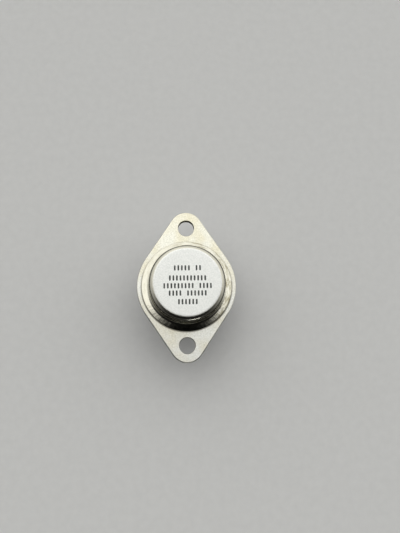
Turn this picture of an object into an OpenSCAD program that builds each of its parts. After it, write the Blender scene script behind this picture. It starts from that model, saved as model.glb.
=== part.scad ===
// Power transistor in a two-lead oval metal package with a welded steel cap.
// Frame: the header's underside lies on Z = 0 with its centre at the origin, the cap points
// along +Z, the two mounting holes lie on the Y axis, and the leads are nearer the +Y hole.
// The sizes below put the mounting holes at the standard 30.15 apart. All are in millimetres.

/* [Cap] */
// Outside diameter of the drawn cap's wall
cap_d = 18.9; // [18:0.1:22]
// Height of the cap's top above the header's underside
overall_h = 8.6; // [7.5:0.05:10]
// Thickness of the sheet that the cap is drawn from
cap_sheet = 0.5; // [0.35:0.05:0.6]
// Outside radius where the cap's wall turns into its flat top
crown_r = 1.4; // [0.7:0.05:1.6]
// Width of the weld brim that stands out from the cap's wall
brim_w = 2.05; // [1.4:0.05:2.4]
// Fall of the brim's upper face from the wall to its edge, left by welding
brim_drop = 0.2; // [0.05:0.05:0.3]
// Outside radius where the cap's wall turns into its brim
brim_fillet = 0.8; // [0.3:0.05:0.9]
// Rounding of the brim's trimmed edge
brim_edge_r = 0.2; // [0.05:0.01:0.25]

/* [Header] */
// Thickness of the header plate
header_t = 1.6; // [1.4:0.05:2]
// Diameter of each mounting hole
hole_d = 4.1; // [3.8:0.05:4.4]
// Metal left between the brim and each mounting hole
hole_land = 1.525; // [1.2:0.025:2.5]
// Metal left beside the brim at the header's widest place
side_land = 1.15; // [1:0.05:2]
// Metal left around each mounting hole at the tips
tip_land = 2.2; // [1.6:0.05:2.8]
// Rounding of the header's upper outline, from blanking and tumbling
edge_r = 0.25; // [0.1:0.05:0.4]
// Rounding of the header's lower outline
foot_edge_r = 0.12; // [0.05:0.01:0.2]
// Rounding of both mouths of each mounting hole
mouth_r = 0.15; // [0.05:0.05:0.3]

/* [Leads and seals] */
// Distance between the two leads
lead_spacing = 10.92; // [10.4:0.02:12]
// Distance from the header's centre to the line of the leads
lead_offset = 1.825; // [1.5:0.025:2.2]
// Diameter of each lead below the header
lead_d = 1.0; // [0.95:0.01:1.15]
// Diameter of each lead in its seal and inside the cap
post_d = 1.4; // [1.3:0.05:1.6]
// Length of each lead below the header
lead_len = 11.8; // [11:0.1:13]
// Chamfer on each lead's cut end
lead_chamfer = 0.12; // [0.05:0.01:0.2]
// Height of each lead's bonding head above the header
post_h = 2.4; // [2:0.1:3]
// Diameter of each lead's bonding head
post_head_d = 2.2; // [1.8:0.1:2.6]
// Thickness of each lead's bonding head
post_head_t = 0.4; // [0.3:0.05:0.6]
// Diameter of each glass seal and of its hole
seal_d = 3.6; // [3:0.1:4.2]
// Depth of the glass below the header's faces at the hole's wall
seal_inset = 0.08; // [0:0.02:0.2]
// Depth of the hollow that the glass surface forms between lead and hole
meniscus = 0.2; // [0.1:0.05:0.4]

/* [Chip and heat spreader] */
// Side of the square chip
chip_w = 4.4; // [3.5:0.1:5.2]
// Thickness of the chip
chip_t = 0.28; // [0.2:0.02:0.4]
// Thickness of the solder under the chip
solder_t = 0.08; // [0.04:0.01:0.12]
// Distance that the solder stands out past the chip
solder_fillet = 0.1; // [0.05:0.01:0.2]
// Thickness of the copper heat spreader
spreader_t = 1.0; // [0.8:0.1:1.5]
// Metal left around the chip's corners on the heat spreader
spreader_land = 1.09; // [0.8:0.01:1.5]
// Thickness of the braze under the heat spreader
braze_t = 0.05; // [0.03:0.01:0.1]
// Gap between the heat spreader and each glass seal
spreader_gap = 0.4; // [0.2:0.05:0.8]
// Height of the junction coating above the chip
coating_rise = 0.85; // [0.5:0.05:1.2]
// Distance from the coating's edge to the heat spreader's edge
coating_inset = 0.5; // [0.2:0.05:0.7]

/* [Bond wires] */
// Diameter of each emitter wire
emitter_wire_d = 0.38; // [0.25:0.01:0.5]
// Diameter of the base wire
base_wire_d = 0.25; // [0.2:0.01:0.38]
// Distance between the two emitter wires
emitter_wire_gap = 0.9; // [0.7:0.05:1.1]
// Rise of each wire's loop above the line between its two bonds
loop_rise = 1.3; // [0.9:0.05:1.8]

/* [Hidden] */
$fn = 96;

// Reach of a cutter past the face that it cuts
past = 1;

// Cap
cap_r = cap_d / 2;
cavity_r = cap_r - cap_sheet;
brim_r = cap_r + brim_w;
brim_slope = atan(brim_drop / brim_w);
brim_normal = [sin(brim_slope), cos(brim_slope)];

// Header outline: one circle around the brim and one around each hole, joined by their tangents
side_r = brim_r + side_land;
tip_r = hole_d / 2 + tip_land;
hole_y = brim_r + hole_land + hole_d / 2;
flank_angle = asin((side_r - tip_r) / hole_y);
flank_len = hole_y * cos(flank_angle);
rim_w = 3 * edge_r;

// Leads: the base on the -X side and the emitter on the +X side
base_side = -1;
emitter_side = 1;
lead_x = lead_spacing / 2;
seal_r = seal_d / 2;
head_top = header_t + post_h;

// Heat spreader: set back from the leads until it clears both seals
spreader_r = chip_w / sqrt(2) + spreader_land;
seal_reach = spreader_r + spreader_gap + seal_r;
spreader_y = lead_offset - sqrt(max(0, seal_reach ^ 2 - lead_x ^ 2));

// Heights of the stack on the header's upper face
spreader_z = header_t + braze_t;
solder_z = spreader_z + spreader_t;
chip_z = solder_z + solder_t;
chip_top = chip_z + chip_t;

// Junction coating: the part of a ball that stands above the heat spreader
coating_r = spreader_r - coating_inset;
coating_h = chip_top + coating_rise - solder_z;
coating_ball_r = (coating_r ^ 2 + coating_h ^ 2) / (2 * coating_h);

// Bond pads on the chip, whose centre is the heat spreader's centre
emitter_pad_x = chip_w / 4;
base_pad_x = -chip_w / 3;
base_pad_y = chip_w / 4;

// Wedge bonds: length and height, and width as a multiple of the wire's diameter
foot_l = 0.8;
foot_h = 0.14;
foot_spread = 1.4;

// What is cut away to round a square corner to radius r, with the corner at the origin
module corner_waste(r) {
    translate([-r, -r]) difference() {
        square(r + past);
        circle(r);
    }
}

// Section of the header's rim, from its inside at X = -rim_w to its edge at X = 0
module rim_section() {
    difference() {
        translate([-rim_w, 0]) square([rim_w, header_t]);
        translate([0, header_t]) corner_waste(edge_r);
        mirror([0, 1]) corner_waste(foot_edge_r);
    }
}

// Rim around one circle of the outline, from angle a to angle b
module rim_arc(r, a, b) {
    rotate([0, 0, a]) rotate_extrude(angle = b - a) translate([r, 0]) rim_section();
}

// Straight rim along the tangent from the middle circle to the +Y tip circle
module rim_flank() {
    rotate([0, 0, flank_angle]) translate([side_r, flank_len, 0])
        rotate([90, 0, 0]) linear_extrude(flank_len) rim_section();
}

// Points where the flank meets the two circles, set in from the edge by the given amount
function flank_points(inset) = let (n = [cos(flank_angle), sin(flank_angle)]) [
    (side_r - inset) * n,
    [0, hole_y] + (tip_r - inset) * n
];

// Flat middle of the header inside its rim
module header_core() {
    inset = rim_w / 2;
    p = flank_points(inset);
    right = [p[0], p[1]];
    left = [for (q = [p[1], p[0]]) [-q.x, q.y]];
    upper = concat(right, left);
    lower = [for (q = upper) [q.x, -q.y]];
    linear_extrude(header_t) {
        circle(side_r - inset);
        for (s = [-1, 1]) translate([0, s * hole_y]) circle(tip_r - inset);
        polygon(upper);
        polygon(lower);
    }
}

// Cutter for a hole of radius r through the header, with both mouths rounded by m
module rounded_hole(r, m) {
    rotate_extrude() difference() {
        translate([0, -past]) square([r + m, header_t + 2 * past]);
        translate([r + m, m]) circle(m);
        translate([r + m, header_t - m]) circle(m);
        translate([r, m]) square([m, header_t - 2 * m]);
    }
}

// Header plate: blanked steel with two mounting holes and two seal holes
module header() {
    color("antiquewhite") difference() {
        union() {
            header_core();
            for (s = [0, 180]) rotate([0, 0, s]) {
                rim_arc(side_r, -flank_angle, flank_angle);
                translate([0, hole_y, 0]) rim_arc(tip_r, flank_angle, 180 - flank_angle);
                rim_flank();
                mirror([1, 0, 0]) rim_flank();
            }
        }
        for (s = [-1, 1]) translate([0, s * hole_y, 0]) rounded_hole(hole_d / 2, mouth_r);
        for (s = [base_side, emitter_side])
            at_lead(s) translate([0, 0, -past]) cylinder(r = seal_r, h = header_t + 2 * past);
    }
}

// Half section of a solid drum of radius r and height h, with its upper corner rounded
module drum_section(r, h, crown) {
    difference() {
        square([r, h]);
        translate([r, h]) corner_waste(crown);
    }
}

// Height of a circle of radius r that touches the brim's upper face from above, centred at
// distance d from the wall. A negative r touches it from below.
function on_brim(d, r) = cap_sheet - d * tan(brim_slope) + r / cos(brim_slope);

// Half section of the brim, its upper face sloping down to a rounded edge
module brim_section() {
    edge_c = [brim_r - brim_edge_r, on_brim(brim_w - brim_edge_r, -brim_edge_r)];
    difference() {
        polygon([[0, 0], [brim_r, 0], [brim_r, on_brim(brim_w, 0)], [cap_r, cap_sheet], [0, cap_sheet]]);
        translate(edge_c) difference() {
            polygon([[0, 0], [past, 0], [past, past], past * brim_normal]);
            circle(brim_edge_r);
        }
    }
}

// Section of the fillet between the wall and the brim
module fillet_section() {
    fillet_c = [cap_r + brim_fillet, on_brim(brim_fillet, brim_fillet)];
    difference() {
        polygon([[cap_r, cap_sheet], fillet_c - brim_fillet * brim_normal, fillet_c, [cap_r, fillet_c.y]]);
        translate(fillet_c) circle(brim_fillet);
    }
}

// Half section of the cap: the outer drum and brim, less the inner drum and its flare
module cap_section() {
    flare_r = brim_fillet + cap_sheet;
    rise = overall_h - header_t;
    difference() {
        union() {
            drum_section(cap_r, rise, crown_r);
            brim_section();
            fillet_section();
        }
        translate([0, -past]) drum_section(cavity_r, rise - cap_sheet + past, crown_r - cap_sheet);
        difference() {
            translate([cavity_r, -past]) square([flare_r, flare_r + past]);
            translate([cavity_r + flare_r, flare_r]) circle(flare_r);
        }
    }
}

// Cap: one drawn steel cup with a flat top and a weld brim
module cap() {
    color("whitesmoke") translate([0, 0, header_t]) rotate_extrude() cap_section();
}

// Moves a lead's pieces to their place on the given side
module at_lead(side) {
    translate([side * lead_x, lead_offset, 0]) children();
}

// Lead: a thin pin with a chamfered end below, a thicker post in the glass and a bonding head
module lead(side) {
    lead_r = lead_d / 2;
    shoulder_z = seal_inset;
    pin_start = lead_chamfer - lead_len;
    head_z = head_top - post_head_t;
    color("silver") at_lead(side) {
        translate([0, 0, -lead_len])
            cylinder(r1 = lead_r - lead_chamfer, r2 = lead_r, h = lead_chamfer);
        translate([0, 0, pin_start]) cylinder(r = lead_r, h = shoulder_z - pin_start);
        translate([0, 0, shoulder_z]) cylinder(d = post_d, h = head_z - shoulder_z);
        translate([0, 0, head_z]) cylinder(d = post_head_d, h = post_head_t);
    }
}

// Glass seal: a ring fused between the lead and its hole, hollowed at both faces
module glass_seal(side) {
    post_r = post_d / 2;
    span = seal_r - post_r;
    middle_r = (seal_r + post_r) / 2;
    hollow_r = ((span / 2) ^ 2 + meniscus ^ 2) / (2 * meniscus);
    bottom = seal_inset;
    top = header_t - seal_inset;
    color("darkslategray") at_lead(side) rotate_extrude() difference() {
        translate([post_r, bottom]) square([span, top - bottom]);
        translate([middle_r, top + hollow_r - meniscus]) circle(hollow_r);
        translate([middle_r, bottom - hollow_r + meniscus]) circle(hollow_r);
    }
}

// Moves to the heat spreader's centre at height z
module at_spreader(z) {
    translate([0, spreader_y, z]) children();
}

// Braze: the thin layer that fixes the heat spreader to the header
module spreader_braze() {
    color("lightgray") at_spreader(header_t) cylinder(r = spreader_r, h = braze_t);
}

// Heat spreader: a copper disc that carries the chip
module heat_spreader() {
    color("peru") at_spreader(spreader_z) cylinder(r = spreader_r, h = spreader_t);
}

// Square slab centred on the heat spreader
module slab(w, z, t) {
    at_spreader(z) translate([-w / 2, -w / 2, 0]) cube([w, w, t]);
}

// Chip solder: the layer that fixes the chip to the heat spreader
module chip_solder() {
    color("darkgray") slab(chip_w + 2 * solder_fillet, solder_z, solder_t);
}

// Chip: the silicon itself
module chip() {
    color("slategray") slab(chip_w, chip_z, chip_t);
}

// Flattened wedge bond of width w at the origin, long along X
module bond_foot(w) {
    straight = foot_l - w;
    linear_extrude(foot_h) {
        translate([-straight / 2, -w / 2]) square([straight, w]);
        for (s = [-1, 1]) translate([s * straight / 2, 0]) circle(d = w);
    }
}

// Bond wire of diameter d from point a up and over to point b, with a flattened foot at each end
module bond_wire(a, b, d) {
    run = norm([b.x - a.x, b.y - a.y]);
    heading = atan2(b.y - a.y, b.x - a.x);
    chord = norm([run, b.z - a.z]);
    slope = atan2(b.z - a.z, run);
    loop_r = ((chord / 2) ^ 2 + loop_rise ^ 2) / (2 * loop_rise);
    half_sweep = asin(chord / 2 / loop_r);
    color("lightsteelblue") {
        translate([a.x, a.y, a.z + foot_h]) rotate([0, 0, heading]) rotate([90, 0, 0])
            rotate([0, 0, slope]) translate([chord / 2, loop_rise - loop_r, 0])
                rotate([0, 0, 90 - half_sweep]) rotate_extrude(angle = 2 * half_sweep)
                    translate([loop_r, 0]) circle(d = d);
        for (p = [a, b]) translate(p) rotate([0, 0, heading]) bond_foot(foot_spread * d);
    }
}

// Emitter wire number i, 0 or 1
module emitter_wire(i) {
    shift = (i - 0.5) * emitter_wire_gap;
    bond_wire(
        [emitter_pad_x, spreader_y + shift, chip_top],
        [lead_x, lead_offset + shift, head_top],
        emitter_wire_d
    );
}

// Base wire
module base_wire() {
    bond_wire(
        [base_pad_x, spreader_y + base_pad_y, chip_top],
        [-lead_x, lead_offset, head_top],
        base_wire_d
    );
}

// Junction coating: a silicone dome cast over the chip and around the wires
module junction_coating() {
    color("ivory") difference() {
        intersection() {
            at_spreader(solder_z + coating_h - coating_ball_r) sphere(coating_ball_r);
            at_spreader(solder_z) cylinder(r = spreader_r, h = coating_h + past);
        }
        chip_solder();
        chip();
        base_wire();
        for (i = [0, 1]) emitter_wire(i);
    }
}

header();
cap();
lead(base_side);  // base_lead
lead(emitter_side);  // emitter_lead
glass_seal(base_side);  // base_glass_seal
glass_seal(emitter_side);  // emitter_glass_seal
spreader_braze();
heat_spreader();
chip_solder();
chip();
base_wire();
emitter_wire(0);  // emitter_wire_1
emitter_wire(1);  // emitter_wire_2
junction_coating();
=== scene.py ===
import math

import bmesh
import bpy
from mathutils import Matrix, Vector


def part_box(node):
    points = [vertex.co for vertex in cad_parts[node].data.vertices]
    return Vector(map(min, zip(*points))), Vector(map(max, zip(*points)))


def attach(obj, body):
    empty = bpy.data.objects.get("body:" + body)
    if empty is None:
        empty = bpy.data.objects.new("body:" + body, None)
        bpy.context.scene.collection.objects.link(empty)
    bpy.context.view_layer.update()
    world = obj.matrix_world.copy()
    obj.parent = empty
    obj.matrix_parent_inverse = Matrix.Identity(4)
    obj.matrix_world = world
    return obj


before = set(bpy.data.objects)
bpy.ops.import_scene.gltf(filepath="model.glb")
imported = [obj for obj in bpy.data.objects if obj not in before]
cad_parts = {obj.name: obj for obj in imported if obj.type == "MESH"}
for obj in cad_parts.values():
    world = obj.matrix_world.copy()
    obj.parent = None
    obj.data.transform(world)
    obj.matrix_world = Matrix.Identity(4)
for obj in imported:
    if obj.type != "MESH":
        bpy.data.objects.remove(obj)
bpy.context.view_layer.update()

MM = 0.001

# Sizes that the frame gives
CAP_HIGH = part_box("cap")[1]
CAP_TOP = CAP_HIGH.z
BRIM_R = CAP_HIGH.x
HEADER_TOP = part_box("header")[1].z
LEAD_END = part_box("base_lead")[0].z

# The cap's finishes change with height. Under its top: where the matt grain is full, where it has
# gone, and where the shoulder ends. Over the header: where the brim's finish is full, and has gone.
SATIN_FULL, SATIN_END = 0.01 * MM, 0.08 * MM
SHOULDER_END = 1.4 * MM
BRIM_FULL, BRIM_END = 0.6 * MM, 1.6 * MM
# A thin line of painted shade in the gap just outside the welded brim: where it is full, and where it has
# gone
GAP_SHADE_FULL, GAP_SHADE_END = 0.1 * MM, 0.35 * MM

FLOOR_R = 1.2
BACKDROP_SIDES = 64

# The studio's ceiling ends at a near edge, from dark to lit along +Y: overhead, and low down
CEILING_EDGE_HIGH = (-0.11, 0.06)
CEILING_EDGE_LOW = (-0.8, 0.6)
CEILING_POWER = 1.65
# Pairs of a place and a share of light. By height, 0 is straight below, 0.5 the horizon and 1
# straight above. By side, 0 is the left (-X) and 1 the right.
CEILING_BY_HEIGHT = [(0.37, 0.0), (0.6, 0.64), (0.9, 1.0)]
CEILING_BY_SIDE = [(0.14, 0.7), (0.34, 1.0), (0.42, 0.98), (0.62, 0.82)]
NEAR_ROOM_BY_HEIGHT = [
    (0.2, 0.0), (0.32, 0.02), (0.44, 0.04), (0.47, 0.16), (0.495, 0.16), (0.52, 0.01), (1.0, 0.0),
]
FAR_ROOM_BY_HEIGHT = [(0.2, 0.0), (0.36, 0.35), (0.52, 0.35), (0.75, 0.08), (1.0, 0.0)]

BLACK, WHITE = (0.0, 0.0, 0.0, 1.0), (1.0, 1.0, 1.0, 1.0)

# ---------------------------------------------------------------- colours and nodes


def linear(code):
    """An sRGB hex colour as linear red, green, blue and alpha."""
    parts = [int(code[i : i + 2], 16) / 255 for i in (1, 3, 5)]
    return [c / 12.92 if c <= 0.04045 else ((c + 0.055) / 1.055) ** 2.4 for c in parts] + [1.0]


def greys(levels):
    """A ramp's stops from pairs of a place and a light level."""
    return [(place, (level, level, level, 1.0)) for place, level in levels]


def per_mm(size):
    """The scale of a pattern whose features are size millimetres across, on coordinates in metres."""
    return 1 / (size * MM)


def add(tree, kind, values=(), links=(), stops=(), **settings):
    """Adds a node: its settings, its inputs' values, what feeds its inputs, and a ramp's stops."""
    node = tree.nodes.new("ShaderNode" + kind)
    for name, value in settings.items():
        setattr(node, name, value)
    for key, value in dict(values).items():
        node.inputs[key].default_value = value
    for key, source in dict(links).items():
        tree.links.new(source, node.inputs[key])
    for i, (place, colour) in enumerate(stops):
        if i > 1:
            node.color_ramp.elements.new(place)
        node.color_ramp.elements[i].position = place
        node.color_ramp.elements[i].color = colour
    return node


def material(name):
    """A new material with its node tree, its surface shader and its object coordinates."""
    made = bpy.data.materials.new(name)
    made.use_nodes = True
    tree = made.node_tree
    shader = tree.nodes["Principled BSDF"]
    place = add(tree, "TexCoord").outputs["Object"]
    return made, tree, shader, place


def finish(node_name, made):
    """Gives a CAD node its material."""
    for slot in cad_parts[node_name].material_slots:
        slot.material = made


# Sockets of the Mix node in its colour form
MIX_FACTOR, MIX_A, MIX_B, MIX_RESULT = 0, 6, 7, 2

# ---------------------------------------------------------------- materials


def satin_nickel_plate():
    """Blanked steel, barrel-tumbled and nickel-plated: a fine even grain that scatters light to a
    warm cream, with every edge burnished brighter and smoother than the flats."""
    made, tree, shader, place = material("satin_nickel_plate")
    # The real grain is finer: it is drawn this coarse so that it shows
    grain = add(
        tree, "TexNoise", {"Scale": per_mm(0.4), "Detail": 3, "Roughness": 0.7}, {"Vector": place},
    ).outputs[0]
    cloud = add(tree, "TexNoise", {"Scale": per_mm(4.5), "Detail": 2}, {"Vector": place}).outputs[0]
    # 1 on the upper flat, and 0 on rounded edges, walls and the underside
    normal = add(tree, "NewGeometry").outputs["Normal"]
    up = add(tree, "SeparateXYZ", links={0: normal}).outputs["Z"]
    flat = add(tree, "MapRange", {"From Min": 0.7, "From Max": 0.999}, {"Value": up}).outputs[0]
    tone = add(
        tree, "ValToRGB", links={0: cloud},
        stops=[(0.35, linear("#EFEBD9")), (0.65, linear("#F7F7F0"))],
    ).outputs[0]
    speck = add(
        tree, "ValToRGB", links={0: grain},
        stops=[(0.3, linear("#DADAD5")), (0.7, linear("#FFFFFF"))],
    ).outputs[0]
    grained = add(
        tree, "Mix", {MIX_FACTOR: 1.0}, {MIX_A: tone, MIX_B: speck},
        data_type="RGBA", blend_type="MULTIPLY",
    ).outputs[MIX_RESULT]
    burnished = add(
        tree, "Mix", {MIX_A: linear("#F2F1E6")}, {MIX_FACTOR: flat, MIX_B: grained}, data_type="RGBA",
    ).outputs[MIX_RESULT]
    # A faint straw tint, stronger towards the far end: a painted warm cast of the light that falls on the
    # far end
    far = add(tree, "SeparateXYZ", links={0: place}).outputs["Y"]
    along = add(
        tree, "MapRange", {"From Min": -4 * MM, "From Max": 14 * MM}, {"Value": far},
    ).outputs[0]
    painted_far_light_tint = add(
        tree, "ValToRGB", links={0: along},
        stops=[(0.0, linear("#FFFFFF")), (1.0, linear("#FFFDF5"))],
    ).outputs[0]
    tinted = add(
        tree, "Mix", {MIX_FACTOR: 1.0}, {MIX_A: burnished, MIX_B: painted_far_light_tint},
        data_type="RGBA", blend_type="MULTIPLY",
    ).outputs[MIX_RESULT]
    # A thin line of painted shade for the gap where the brim is welded down, weaker on the far side,
    # where more light falls
    plan = add(
        tree, "VectorMath", {1: (1.0, 1.0, 0.0)}, {0: place}, operation="MULTIPLY",
    ).outputs[0]
    out = add(tree, "VectorMath", links={0: plan}, operation="LENGTH").outputs["Value"]
    by_brim = add(
        tree, "MapRange", {"From Min": BRIM_R + GAP_SHADE_END, "From Max": BRIM_R + GAP_SHADE_FULL},
        {"Value": out}, interpolation_type="SMOOTHSTEP",
    ).outputs[0]
    near_side = add(
        tree, "MapRange", {"From Min": 7 * MM, "From Max": -3 * MM, "To Min": 0.1, "To Max": 0.75},
        {"Value": far},
    ).outputs[0]
    gap_shade = add(tree, "Math", links={0: by_brim, 1: near_side}, operation="MULTIPLY").outputs[0]
    colour = add(
        tree, "Mix", {MIX_B: linear("#5A5548")}, {MIX_FACTOR: gap_shade, MIX_A: tinted}, data_type="RGBA",
    ).outputs[MIX_RESULT]
    rough = add(tree, "MapRange", {"To Min": 0.35, "To Max": 0.4}, {"Value": flat}).outputs[0]
    bump = add(
        tree, "Bump", {"Strength": 0.6, "Distance": 0.008 * MM}, {"Height": grain},
    ).outputs[0]
    tree.links.new(colour, shader.inputs["Base Color"])
    tree.links.new(rough, shader.inputs["Roughness"])
    tree.links.new(bump, shader.inputs["Normal"])
    shader.inputs["Metallic"].default_value = 1.0
    return made


def drawn_nickel_cap():
    """Deep-drawn steel under bright nickel. The flat top keeps a matt grain, and the shoulder, the wall
    and the brim are ironed to a mirror, with brown heat stains, which on the right also stand for a
    painted brown reflection, and light ripples on the brim."""
    made, tree, shader, place = material("drawn_nickel_cap")
    across, _, height = add(tree, "SeparateXYZ", links={0: place}).outputs
    on_top = add(
        tree, "MapRange", {"From Min": CAP_TOP - SATIN_END, "From Max": CAP_TOP - SATIN_FULL},
        {"Value": height}, interpolation_type="SMOOTHSTEP",
    ).outputs[0]
    on_brim = add(
        tree, "MapRange", {"From Min": HEADER_TOP + BRIM_END, "From Max": HEADER_TOP + BRIM_FULL},
        {"Value": height},
    ).outputs[0]
    # Round the axis: the way round on the brim's circle, and the distance out as a third measure
    plan = add(
        tree, "VectorMath", {1: (1.0, 1.0, 0.0)}, {0: place}, operation="MULTIPLY",
    ).outputs[0]
    out = add(tree, "VectorMath", links={0: plan}, operation="LENGTH").outputs["Value"]
    way = add(tree, "VectorMath", links={0: plan}, operation="NORMALIZE").outputs[0]
    round_brim = add(
        tree, "VectorMath", {"Scale": BRIM_R}, {0: way}, operation="SCALE",
    ).outputs[0]
    outward = add(tree, "CombineXYZ", links={"Z": out}).outputs[0]
    # The real grain is finer: it is drawn this coarse so that it shows
    grain = add(
        tree, "TexNoise", {"Scale": per_mm(0.3), "Detail": 3, "Roughness": 0.6}, {"Vector": place},
    ).outputs[0]
    # Stains run round the brim, four times longer than wide
    squeezed = add(
        tree, "VectorMath", {1: (1.0, 1.0, 4.0)}, {0: outward}, operation="MULTIPLY",
    ).outputs[0]
    along = add(tree, "VectorMath", links={0: round_brim, 1: squeezed}, operation="ADD").outputs[0]
    stain = add(
        tree, "TexNoise", {"Scale": per_mm(2.6), "Detail": 4, "Roughness": 0.62}, {"Vector": along},
    ).outputs[0]
    # Ripples run outward, three times longer than wide
    stretched = add(
        tree, "VectorMath", {1: (1.0, 1.0, 0.35)}, {0: outward}, operation="MULTIPLY",
    ).outputs[0]
    inward = add(tree, "VectorMath", links={0: round_brim, 1: stretched}, operation="ADD").outputs[0]
    ripple = add(
        tree, "TexNoise", {"Scale": per_mm(0.7), "Detail": 2, "Roughness": 0.5}, {"Vector": inward},
    ).outputs[0]
    # Upright lines from the drawing die, drawn coarser than the real ones so that they show
    upright = add(
        tree, "VectorMath", {1: (1.0, 1.0, 0.03)}, {0: place}, operation="MULTIPLY",
    ).outputs[0]
    die_lines = add(
        tree, "TexNoise", {"Scale": per_mm(0.35), "Detail": 2}, {"Vector": upright},
    ).outputs[0]
    satin_tone = add(
        tree, "ValToRGB", links={0: grain},
        stops=[(0.3, linear("#EBEDE7")), (0.7, linear("#FFFFFA"))],
    ).outputs[0]
    stained = add(
        tree, "ValToRGB", links={0: stain},
        stops=[(0.38, linear("#9D9781")), (0.48, linear("#C5C2B1")), (0.6, linear("#D8D5C7"))],
    ).outputs[0]
    # The stains are strongest on the right: there the brown is partly heat tint and partly a painted
    # reflection of the dim brown room on that side
    right_side = add(
        tree, "MapRange", {"From Min": -6 * MM, "From Max": 9 * MM, "To Min": 0.2}, {"Value": across},
    ).outputs[0]
    heat_stain_and_reflection = add(tree, "Math", links={0: on_brim, 1: right_side}, operation="MULTIPLY").outputs[0]
    polished = add(
        tree, "Mix", {MIX_A: linear("#C6C3B4")}, {MIX_FACTOR: heat_stain_and_reflection, MIX_B: stained}, data_type="RGBA",
    ).outputs[MIX_RESULT]
    colour = add(
        tree, "Mix", links={MIX_FACTOR: on_top, MIX_A: polished, MIX_B: satin_tone}, data_type="RGBA",
    ).outputs[MIX_RESULT]
    # The brim is the smoothest, then the wall, and the shoulder grows duller up to the matt top
    wall_rough = add(tree, "MapRange", {"To Min": 0.1, "To Max": 0.06}, {"Value": on_brim}).outputs[0]
    shoulder_rough = add(
        tree, "MapRange", {"From Min": CAP_TOP - SHOULDER_END, "From Max": CAP_TOP, "To Max": 0.28},
        {"Value": height, "To Min": wall_rough},
    ).outputs[0]
    rough = add(
        tree, "MapRange", {"To Max": 0.56}, {"Value": on_top, "To Min": shoulder_rough},
    ).outputs[0]
    # A round cap faces straight out from its axis, so what its normal has along the way round is
    # only the mesh's own unevenness, and is left out
    faced = add(tree, "NewGeometry").outputs["Normal"]
    outness = add(
        tree, "VectorMath", links={0: faced, 1: way}, operation="DOT_PRODUCT",
    ).outputs["Value"]
    level_part = add(
        tree, "VectorMath", links={0: way, "Scale": outness}, operation="SCALE",
    ).outputs[0]
    upright_part = add(
        tree, "VectorMath", {1: (0.0, 0.0, 1.0)}, {0: faced}, operation="MULTIPLY",
    ).outputs[0]
    both_parts = add(
        tree, "VectorMath", links={0: level_part, 1: upright_part}, operation="ADD",
    ).outputs[0]
    turned = add(tree, "VectorMath", links={0: both_parts}, operation="NORMALIZE").outputs[0]
    lined = add(
        tree, "Bump", {"Strength": 0.2, "Distance": 0.0007 * MM}, {"Height": die_lines, "Normal": turned},
    ).outputs[0]
    satin = add(
        tree, "Bump", {"Distance": 0.008 * MM}, {"Strength": on_top, "Height": grain, "Normal": lined},
    ).outputs[0]
    rippled = add(
        tree, "Bump", {"Distance": 0.015 * MM},
        {"Strength": on_brim, "Height": ripple, "Normal": satin},
    ).outputs[0]
    # The matt grain scatters some light every way, as paint would
    metal = add(tree, "MapRange", {"To Min": 1.0, "To Max": 0.75}, {"Value": on_top}).outputs[0]
    tree.links.new(colour, shader.inputs["Base Color"])
    tree.links.new(rough, shader.inputs["Roughness"])
    tree.links.new(rippled, shader.inputs["Normal"])
    tree.links.new(metal, shader.inputs["Metallic"])
    return made


def laser_mark():
    """Nickel darkened by a marking laser: dull grey oxide with a speckled burn. The speckle is drawn
    coarser than the real one."""
    made, tree, shader, place = material("laser_mark")
    speckle = add(tree, "TexNoise", {"Scale": per_mm(0.09), "Detail": 2}, {"Vector": place}).outputs[0]
    tone = add(
        tree, "ValToRGB", links={0: speckle},
        stops=[(0.35, linear("#2E302D")), (0.7, linear("#585A56"))],
    ).outputs[0]
    tree.links.new(tone, shader.inputs["Base Color"])
    shader.inputs["Roughness"].default_value = 0.55
    shader.inputs["Metallic"].default_value = 0.4
    return made


def plated_wire():
    """Nickel-iron wire with a tin finish: bright, with faint lines along it from drawing, which are
    coarser here than the real ones so that they show."""
    made, tree, shader, place = material("plated_wire")
    stretched = add(
        tree, "VectorMath", {1: (1.0, 1.0, 0.05)}, {0: place}, operation="MULTIPLY",
    ).outputs[0]
    drawing = add(
        tree, "TexNoise", {"Scale": per_mm(0.12), "Detail": 3}, {"Vector": stretched},
    ).outputs[0]
    patches = add(tree, "TexNoise", {"Scale": per_mm(1.6), "Detail": 2}, {"Vector": place}).outputs[0]
    tone = add(
        tree, "ValToRGB", links={0: patches},
        stops=[(0.3, linear("#C3BFB4")), (0.7, linear("#DCD9D0"))],
    ).outputs[0]
    rough = add(tree, "MapRange", {"To Min": 0.24, "To Max": 0.42}, {"Value": patches}).outputs[0]
    bump = add(
        tree, "Bump", {"Strength": 0.5, "Distance": 0.004 * MM}, {"Height": drawing},
    ).outputs[0]
    tree.links.new(tone, shader.inputs["Base Color"])
    tree.links.new(rough, shader.inputs["Roughness"])
    tree.links.new(bump, shader.inputs["Normal"])
    shader.inputs["Metallic"].default_value = 1.0
    return made


def sealing_glass():
    """Fused compression glass: dark grey-green, fire-polished, with a few tiny bubbles."""
    made, tree, shader, place = material("sealing_glass")
    bubbles = add(tree, "TexVoronoi", {"Scale": per_mm(0.35)}, {"Vector": place}).outputs["Distance"]
    tone = add(
        tree, "ValToRGB", links={0: bubbles},
        stops=[(0.08, linear("#6F7F78")), (0.2, linear("#25302C"))],
    ).outputs[0]
    tree.links.new(tone, shader.inputs["Base Color"])
    shader.inputs["Roughness"].default_value = 0.08
    shader.inputs["IOR"].default_value = 1.52
    return made


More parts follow.
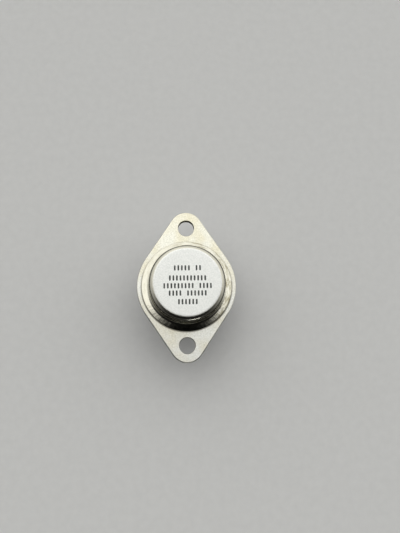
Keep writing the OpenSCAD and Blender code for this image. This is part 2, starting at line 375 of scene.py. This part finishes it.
def inner_finish(name, dark, light, size, metallic, roughness):
    """A finish of a piece inside the can: two tones that drift into each other over size millimetres."""
    made, tree, shader, place = material(name)
    drift = add(tree, "TexNoise", {"Scale": per_mm(size), "Detail": 3}, {"Vector": place}).outputs[0]
    tone = add(
        tree, "ValToRGB", links={0: drift}, stops=[(0.3, linear(dark)), (0.7, linear(light))],
    ).outputs[0]
    bump = add(
        tree, "Bump", {"Strength": 0.3, "Distance": 0.005 * MM}, {"Height": drift},
    ).outputs[0]
    tree.links.new(tone, shader.inputs["Base Color"])
    tree.links.new(bump, shader.inputs["Normal"])
    shader.inputs["Metallic"].default_value = metallic
    shader.inputs["Roughness"].default_value = roughness
    return made


finish("header", satin_nickel_plate())
finish("cap", drawn_nickel_cap())
wire = plated_wire()
finish("base_lead", wire)
finish("emitter_lead", wire)
glass = sealing_glass()
finish("base_glass_seal", glass)
finish("emitter_glass_seal", glass)
# Lead-tin solder sets dull grey with a coarse crystal pattern
solder = inner_finish("dull_solder", "#8E8F92", "#B4B5B6", size=0.5, metallic=1.0, roughness=0.5)
finish("spreader_braze", solder)
finish("chip_solder", solder)
# Oxygen-free copper, slightly darkened by the brazing furnace
copper = inner_finish("furnace_copper", "#B4714F", "#D08E68", size=1.2, metallic=1.0, roughness=0.35)
finish("heat_spreader", copper)
# Silicon under its metal contact pattern: slate grey with a cold gloss
silicon = inner_finish("silicon", "#4A5360", "#66707C", size=0.8, metallic=0.6, roughness=0.2)
finish("chip", silicon)
# Pure aluminium bond wire, bright as drawn
bond = inner_finish("aluminium_wire", "#C9CACC", "#E0E1E2", size=0.2, metallic=1.0, roughness=0.25)
for name in ("base_wire", "emitter_wire_1", "emitter_wire_2"):
    finish(name, bond)
# Silicone junction coating: milky white rubber with a wet skin
rubber = inner_finish("silicone_coating", "#DAD8CE", "#ECEAE2", size=0.9, metallic=0.0, roughness=0.25)
finish("junction_coating", rubber)

# ---------------------------------------------------------------- marking on the cap

# Rows of plain upright ticks stand in for the laser marking. All ticks are alike and say nothing.
# Sizes are in millimetres: a tick's width, length, corner radius and thickness, the step from tick
# to tick, and the gap between groups. A row is its place along Y and the ticks in each group.
TICK_W, TICK_H, TICK_R, TICK_T = 0.4, 1.3, 0.18, 0.004
TICK_PITCH, GROUP_GAP = 0.86, 1.0
TICK_ROWS = [(3.5, [5, 2]), (1.0, [11]), (-0.9, [9, 4]), (-2.7, [4, 6]), (-4.8, [6])]
CORNER_STEPS = 4


def tick_outline(x, y):
    """The outline of a round-cornered tick centred on x and y, in metres."""
    points = []
    for corner in range(4):
        side_x = 1 if corner in (0, 3) else -1
        side_y = 1 if corner < 2 else -1
        for step in range(CORNER_STEPS + 1):
            a = math.pi / 2 * (corner + step / CORNER_STEPS)
            px = x + side_x * (TICK_W / 2 - TICK_R) + TICK_R * math.cos(a)
            py = y + side_y * (TICK_H / 2 - TICK_R) + TICK_R * math.sin(a)
            points.append((px * MM, py * MM))
    return points


def add_plate(mesh, outline, low, high):
    """Adds a thin closed plate on an outline."""
    upper = [mesh.verts.new((x, y, high)) for x, y in outline]
    lower = [mesh.verts.new((x, y, low)) for x, y in outline]
    mesh.faces.new(upper)
    mesh.faces.new(lower[::-1])
    for i in range(len(outline)):
        j = (i + 1) % len(outline)
        mesh.faces.new((upper[i], lower[i], lower[j], upper[j]))


def row_places(groups):
    """The ticks' centres along a row that is centred on the cap."""
    places = []
    x = 0.0
    for count in groups:
        for _ in range(count):
            places.append(x)
            x += TICK_PITCH
        x += GROUP_GAP
    middle = (places[0] + places[-1]) / 2
    return [x - middle for x in places]


def cap_marking():
    """The marking: rows of plain ticks, a thin layer on the cap's top."""
    mesh = bmesh.new()
    for y, groups in TICK_ROWS:
        for x in row_places(groups):
            add_plate(mesh, tick_outline(x, y), CAP_TOP, CAP_TOP + TICK_T * MM)
    data = bpy.data.meshes.new("cap_marking")
    mesh.to_mesh(data)
    mesh.free()
    piece = bpy.data.objects.new("cap_marking", data)
    bpy.context.scene.collection.objects.link(piece)
    data.materials.append(laser_mark())
    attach(piece, "root")


cap_marking()

# ---------------------------------------------------------------- floor, light and camera


def pale_paper():
    """Matt white studio paper, lit evenly enough to read as one pale tone."""
    made, tree, shader, place = material("pale_paper")
    fibre = add(tree, "TexNoise", {"Scale": per_mm(2.0), "Detail": 4}, {"Vector": place}).outputs[0]
    tone = add(
        tree, "ValToRGB", links={0: fibre},
        stops=[(0.3, linear("#D6D6D3")), (0.7, linear("#DADAD7"))],
    ).outputs[0]
    tree.links.new(tone, shader.inputs["Base Color"])
    shader.inputs["Roughness"].default_value = 0.9
    shader.inputs["Specular IOR Level"].default_value = 0.1
    return made


def glowing_paper():
    """The same paper hung as a wall, lit from behind so that it shows no light's fall-off."""
    made, tree, shader, place = material("glowing_paper")
    cloud = add(tree, "TexNoise", {"Scale": per_mm(400.0), "Detail": 1}, {"Vector": place}).outputs[0]
    tone = add(
        tree, "ValToRGB", links={0: cloud},
        stops=[(0.3, linear("#C5C5C4")), (0.7, linear("#C9C9C8"))],
    ).outputs[0]
    shader.inputs["Base Color"].default_value = BLACK
    tree.links.new(tone, shader.inputs["Emission Color"])
    shader.inputs["Emission Strength"].default_value = 1.0
    return made


def stage_piece(name, points, faces, made):
    """A piece of the stage, kept out of the metal's reflections as by a black tent round the part."""
    data = bpy.data.meshes.new(name)
    data.from_pydata(points, [], faces)
    data.materials.append(made)
    piece = bpy.data.objects.new(name, data)
    bpy.context.scene.collection.objects.link(piece)
    piece.visible_glossy = False
    return piece


def floor():
    """A plain pale floor at the leads' ends."""
    signs = ((-1, -1), (1, -1), (1, 1), (-1, 1))
    corners = [(x * FLOOR_R, y * FLOOR_R, LEAD_END) for x, y in signs]
    stage_piece("floor", corners, [(0, 1, 2, 3)], pale_paper())


def backdrop():
    """A pale round wall that stands on the floor, which only the camera sees."""
    count = BACKDROP_SIDES
    ways = [2 * math.pi * i / count for i in range(count)]
    points = [
        (math.cos(a) * FLOOR_R, math.sin(a) * FLOOR_R, z) for z in (LEAD_END, FLOOR_R) for a in ways
    ]
    faces = [(i, (i + 1) % count, count + (i + 1) % count, count + i) for i in range(count)]
    wall = stage_piece("backdrop", points, faces, glowing_paper())
    wall.visible_diffuse = False
    wall.visible_shadow = False


def lamp(name, only, elevation, turn, distance, width, height, power):
    """An area light aimed at the part, which lights one node: elevation is its angle above the
    part's seat, and turn is the direction that it stands in, from +Y towards +X, in degrees."""
    elevation, turn = math.radians(elevation), math.radians(turn)
    flat = math.cos(elevation)
    away = Vector((math.sin(turn) * flat, math.cos(turn) * flat, math.sin(elevation)))
    data = bpy.data.lights.new(name, "AREA")
    data.shape = "ELLIPSE"
    data.size, data.size_y = width, height
    data.energy = power
    piece = bpy.data.objects.new(name, data)
    piece.location = away * distance
    piece.rotation_euler = away.to_track_quat("Z", "Y").to_euler()
    piece.visible_camera = False
    lit = bpy.data.collections.new(name + "_lights")
    lit.objects.link(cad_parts[only])
    piece.light_linking.receiver_collection = lit
    bpy.context.scene.collection.objects.link(piece)


def studio():
    """A lit ceiling on the far side, brightest left of its middle and dimmer low down, and a dark
    room on the near side, with dim light round the horizon that is stronger on the far side."""
    world = bpy.data.worlds.new("studio")
    bpy.context.scene.world = world
    world.use_nodes = True
    tree = world.node_tree
    back = tree.nodes["Background"]
    place = add(tree, "TexCoord").outputs["Generated"]
    across, far, up = add(tree, "SeparateXYZ", links={0: place}).outputs
    # The ceiling's near edge is sharp overhead and soft low down
    overhead = {"From Min": 0.4, "From Max": 0.95}
    dark, lit = [
        add(tree, "MapRange", {"To Min": low, "To Max": high, **overhead}, {"Value": up}).outputs[0]
        for low, high in zip(CEILING_EDGE_LOW, CEILING_EDGE_HIGH)
    ]
    depth = add(
        tree, "MapRange", links={"Value": far, "From Min": dark, "From Max": lit},
        interpolation_type="SMOOTHSTEP",
    ).outputs[0]
    height = add(tree, "MapRange", {"From Min": -1.0}, {"Value": up}).outputs[0]
    side = add(tree, "MapRange", {"From Min": -1.0}, {"Value": across}).outputs[0]
    by_height = add(
        tree, "ValToRGB", links={0: height}, stops=greys(CEILING_BY_HEIGHT),
    ).outputs[0]
    by_side = add(tree, "ValToRGB", links={0: side}, stops=greys(CEILING_BY_SIDE)).outputs[0]
    edged = add(tree, "Math", links={0: depth, 1: by_height}, operation="MULTIPLY").outputs[0]
    ceiling = add(tree, "Math", links={0: edged, 1: by_side}, operation="MULTIPLY").outputs[0]
    near_room = add(
        tree, "ValToRGB", links={0: height}, stops=greys(NEAR_ROOM_BY_HEIGHT),
    ).outputs[0]
    far_room = add(
        tree, "ValToRGB", links={0: height}, stops=greys(FAR_ROOM_BY_HEIGHT),
    ).outputs[0]
    # The near room turns into the far room on the way from -Y to the middle
    away = add(
        tree, "MapRange", {"From Min": -0.85, "From Max": 0.0}, {"Value": far},
        interpolation_type="SMOOTHSTEP",
    ).outputs[0]
    room = add(
        tree, "Mix", links={MIX_FACTOR: away, MIX_A: near_room, MIX_B: far_room}, data_type="RGBA",
    ).outputs[MIX_RESULT]
    light = add(
        tree, "Math", {1: CEILING_POWER}, {0: ceiling, 2: room}, operation="MULTIPLY_ADD",
    ).outputs[0]
    tree.links.new(light, back.inputs["Strength"])
    back.inputs["Color"].default_value = WHITE


def camera():
    """Looks down on the part from just off its axis, leaning towards -Y."""
    lean, turn, roll = math.radians(10.18), math.radians(3.13), math.radians(0.38)
    spin = Matrix.Rotation(turn, 3, "Y") @ Matrix.Rotation(-lean, 3, "X") @ Matrix.Rotation(roll, 3, "Z")
    # Where the camera has the part's origin: a little left and down, and straight ahead
    part_place = Vector((-3.473, -5.274, -150.0)) * MM
    data = bpy.data.cameras.new("camera")
    data.sensor_width = 36.0
    data.lens = 39.377
    data.clip_start = 1 * MM
    piece = bpy.data.objects.new("camera", data)
    facing = spin.transposed()
    piece.matrix_world = Matrix.Translation(facing @ -part_place) @ facing.to_4x4()
    bpy.context.scene.collection.objects.link(piece)
    bpy.context.scene.camera = piece


floor()
backdrop()
studio()
# A slim lamp puts a short streak on the cap's near shoulder
lamp(
    "streak", "cap", elevation=-5, turn=167, distance=80 * MM,
    width=30 * MM, height=1.5 * MM, power=0.0025,
)
# A wide one, low down, lifts the header's near edge
lamp(
    "edge_light", "header", elevation=3, turn=180, distance=400 * MM,
    width=400 * MM, height=50 * MM, power=0.15,
)
camera()
bpy.context.scene.view_settings.view_transform = "Standard"
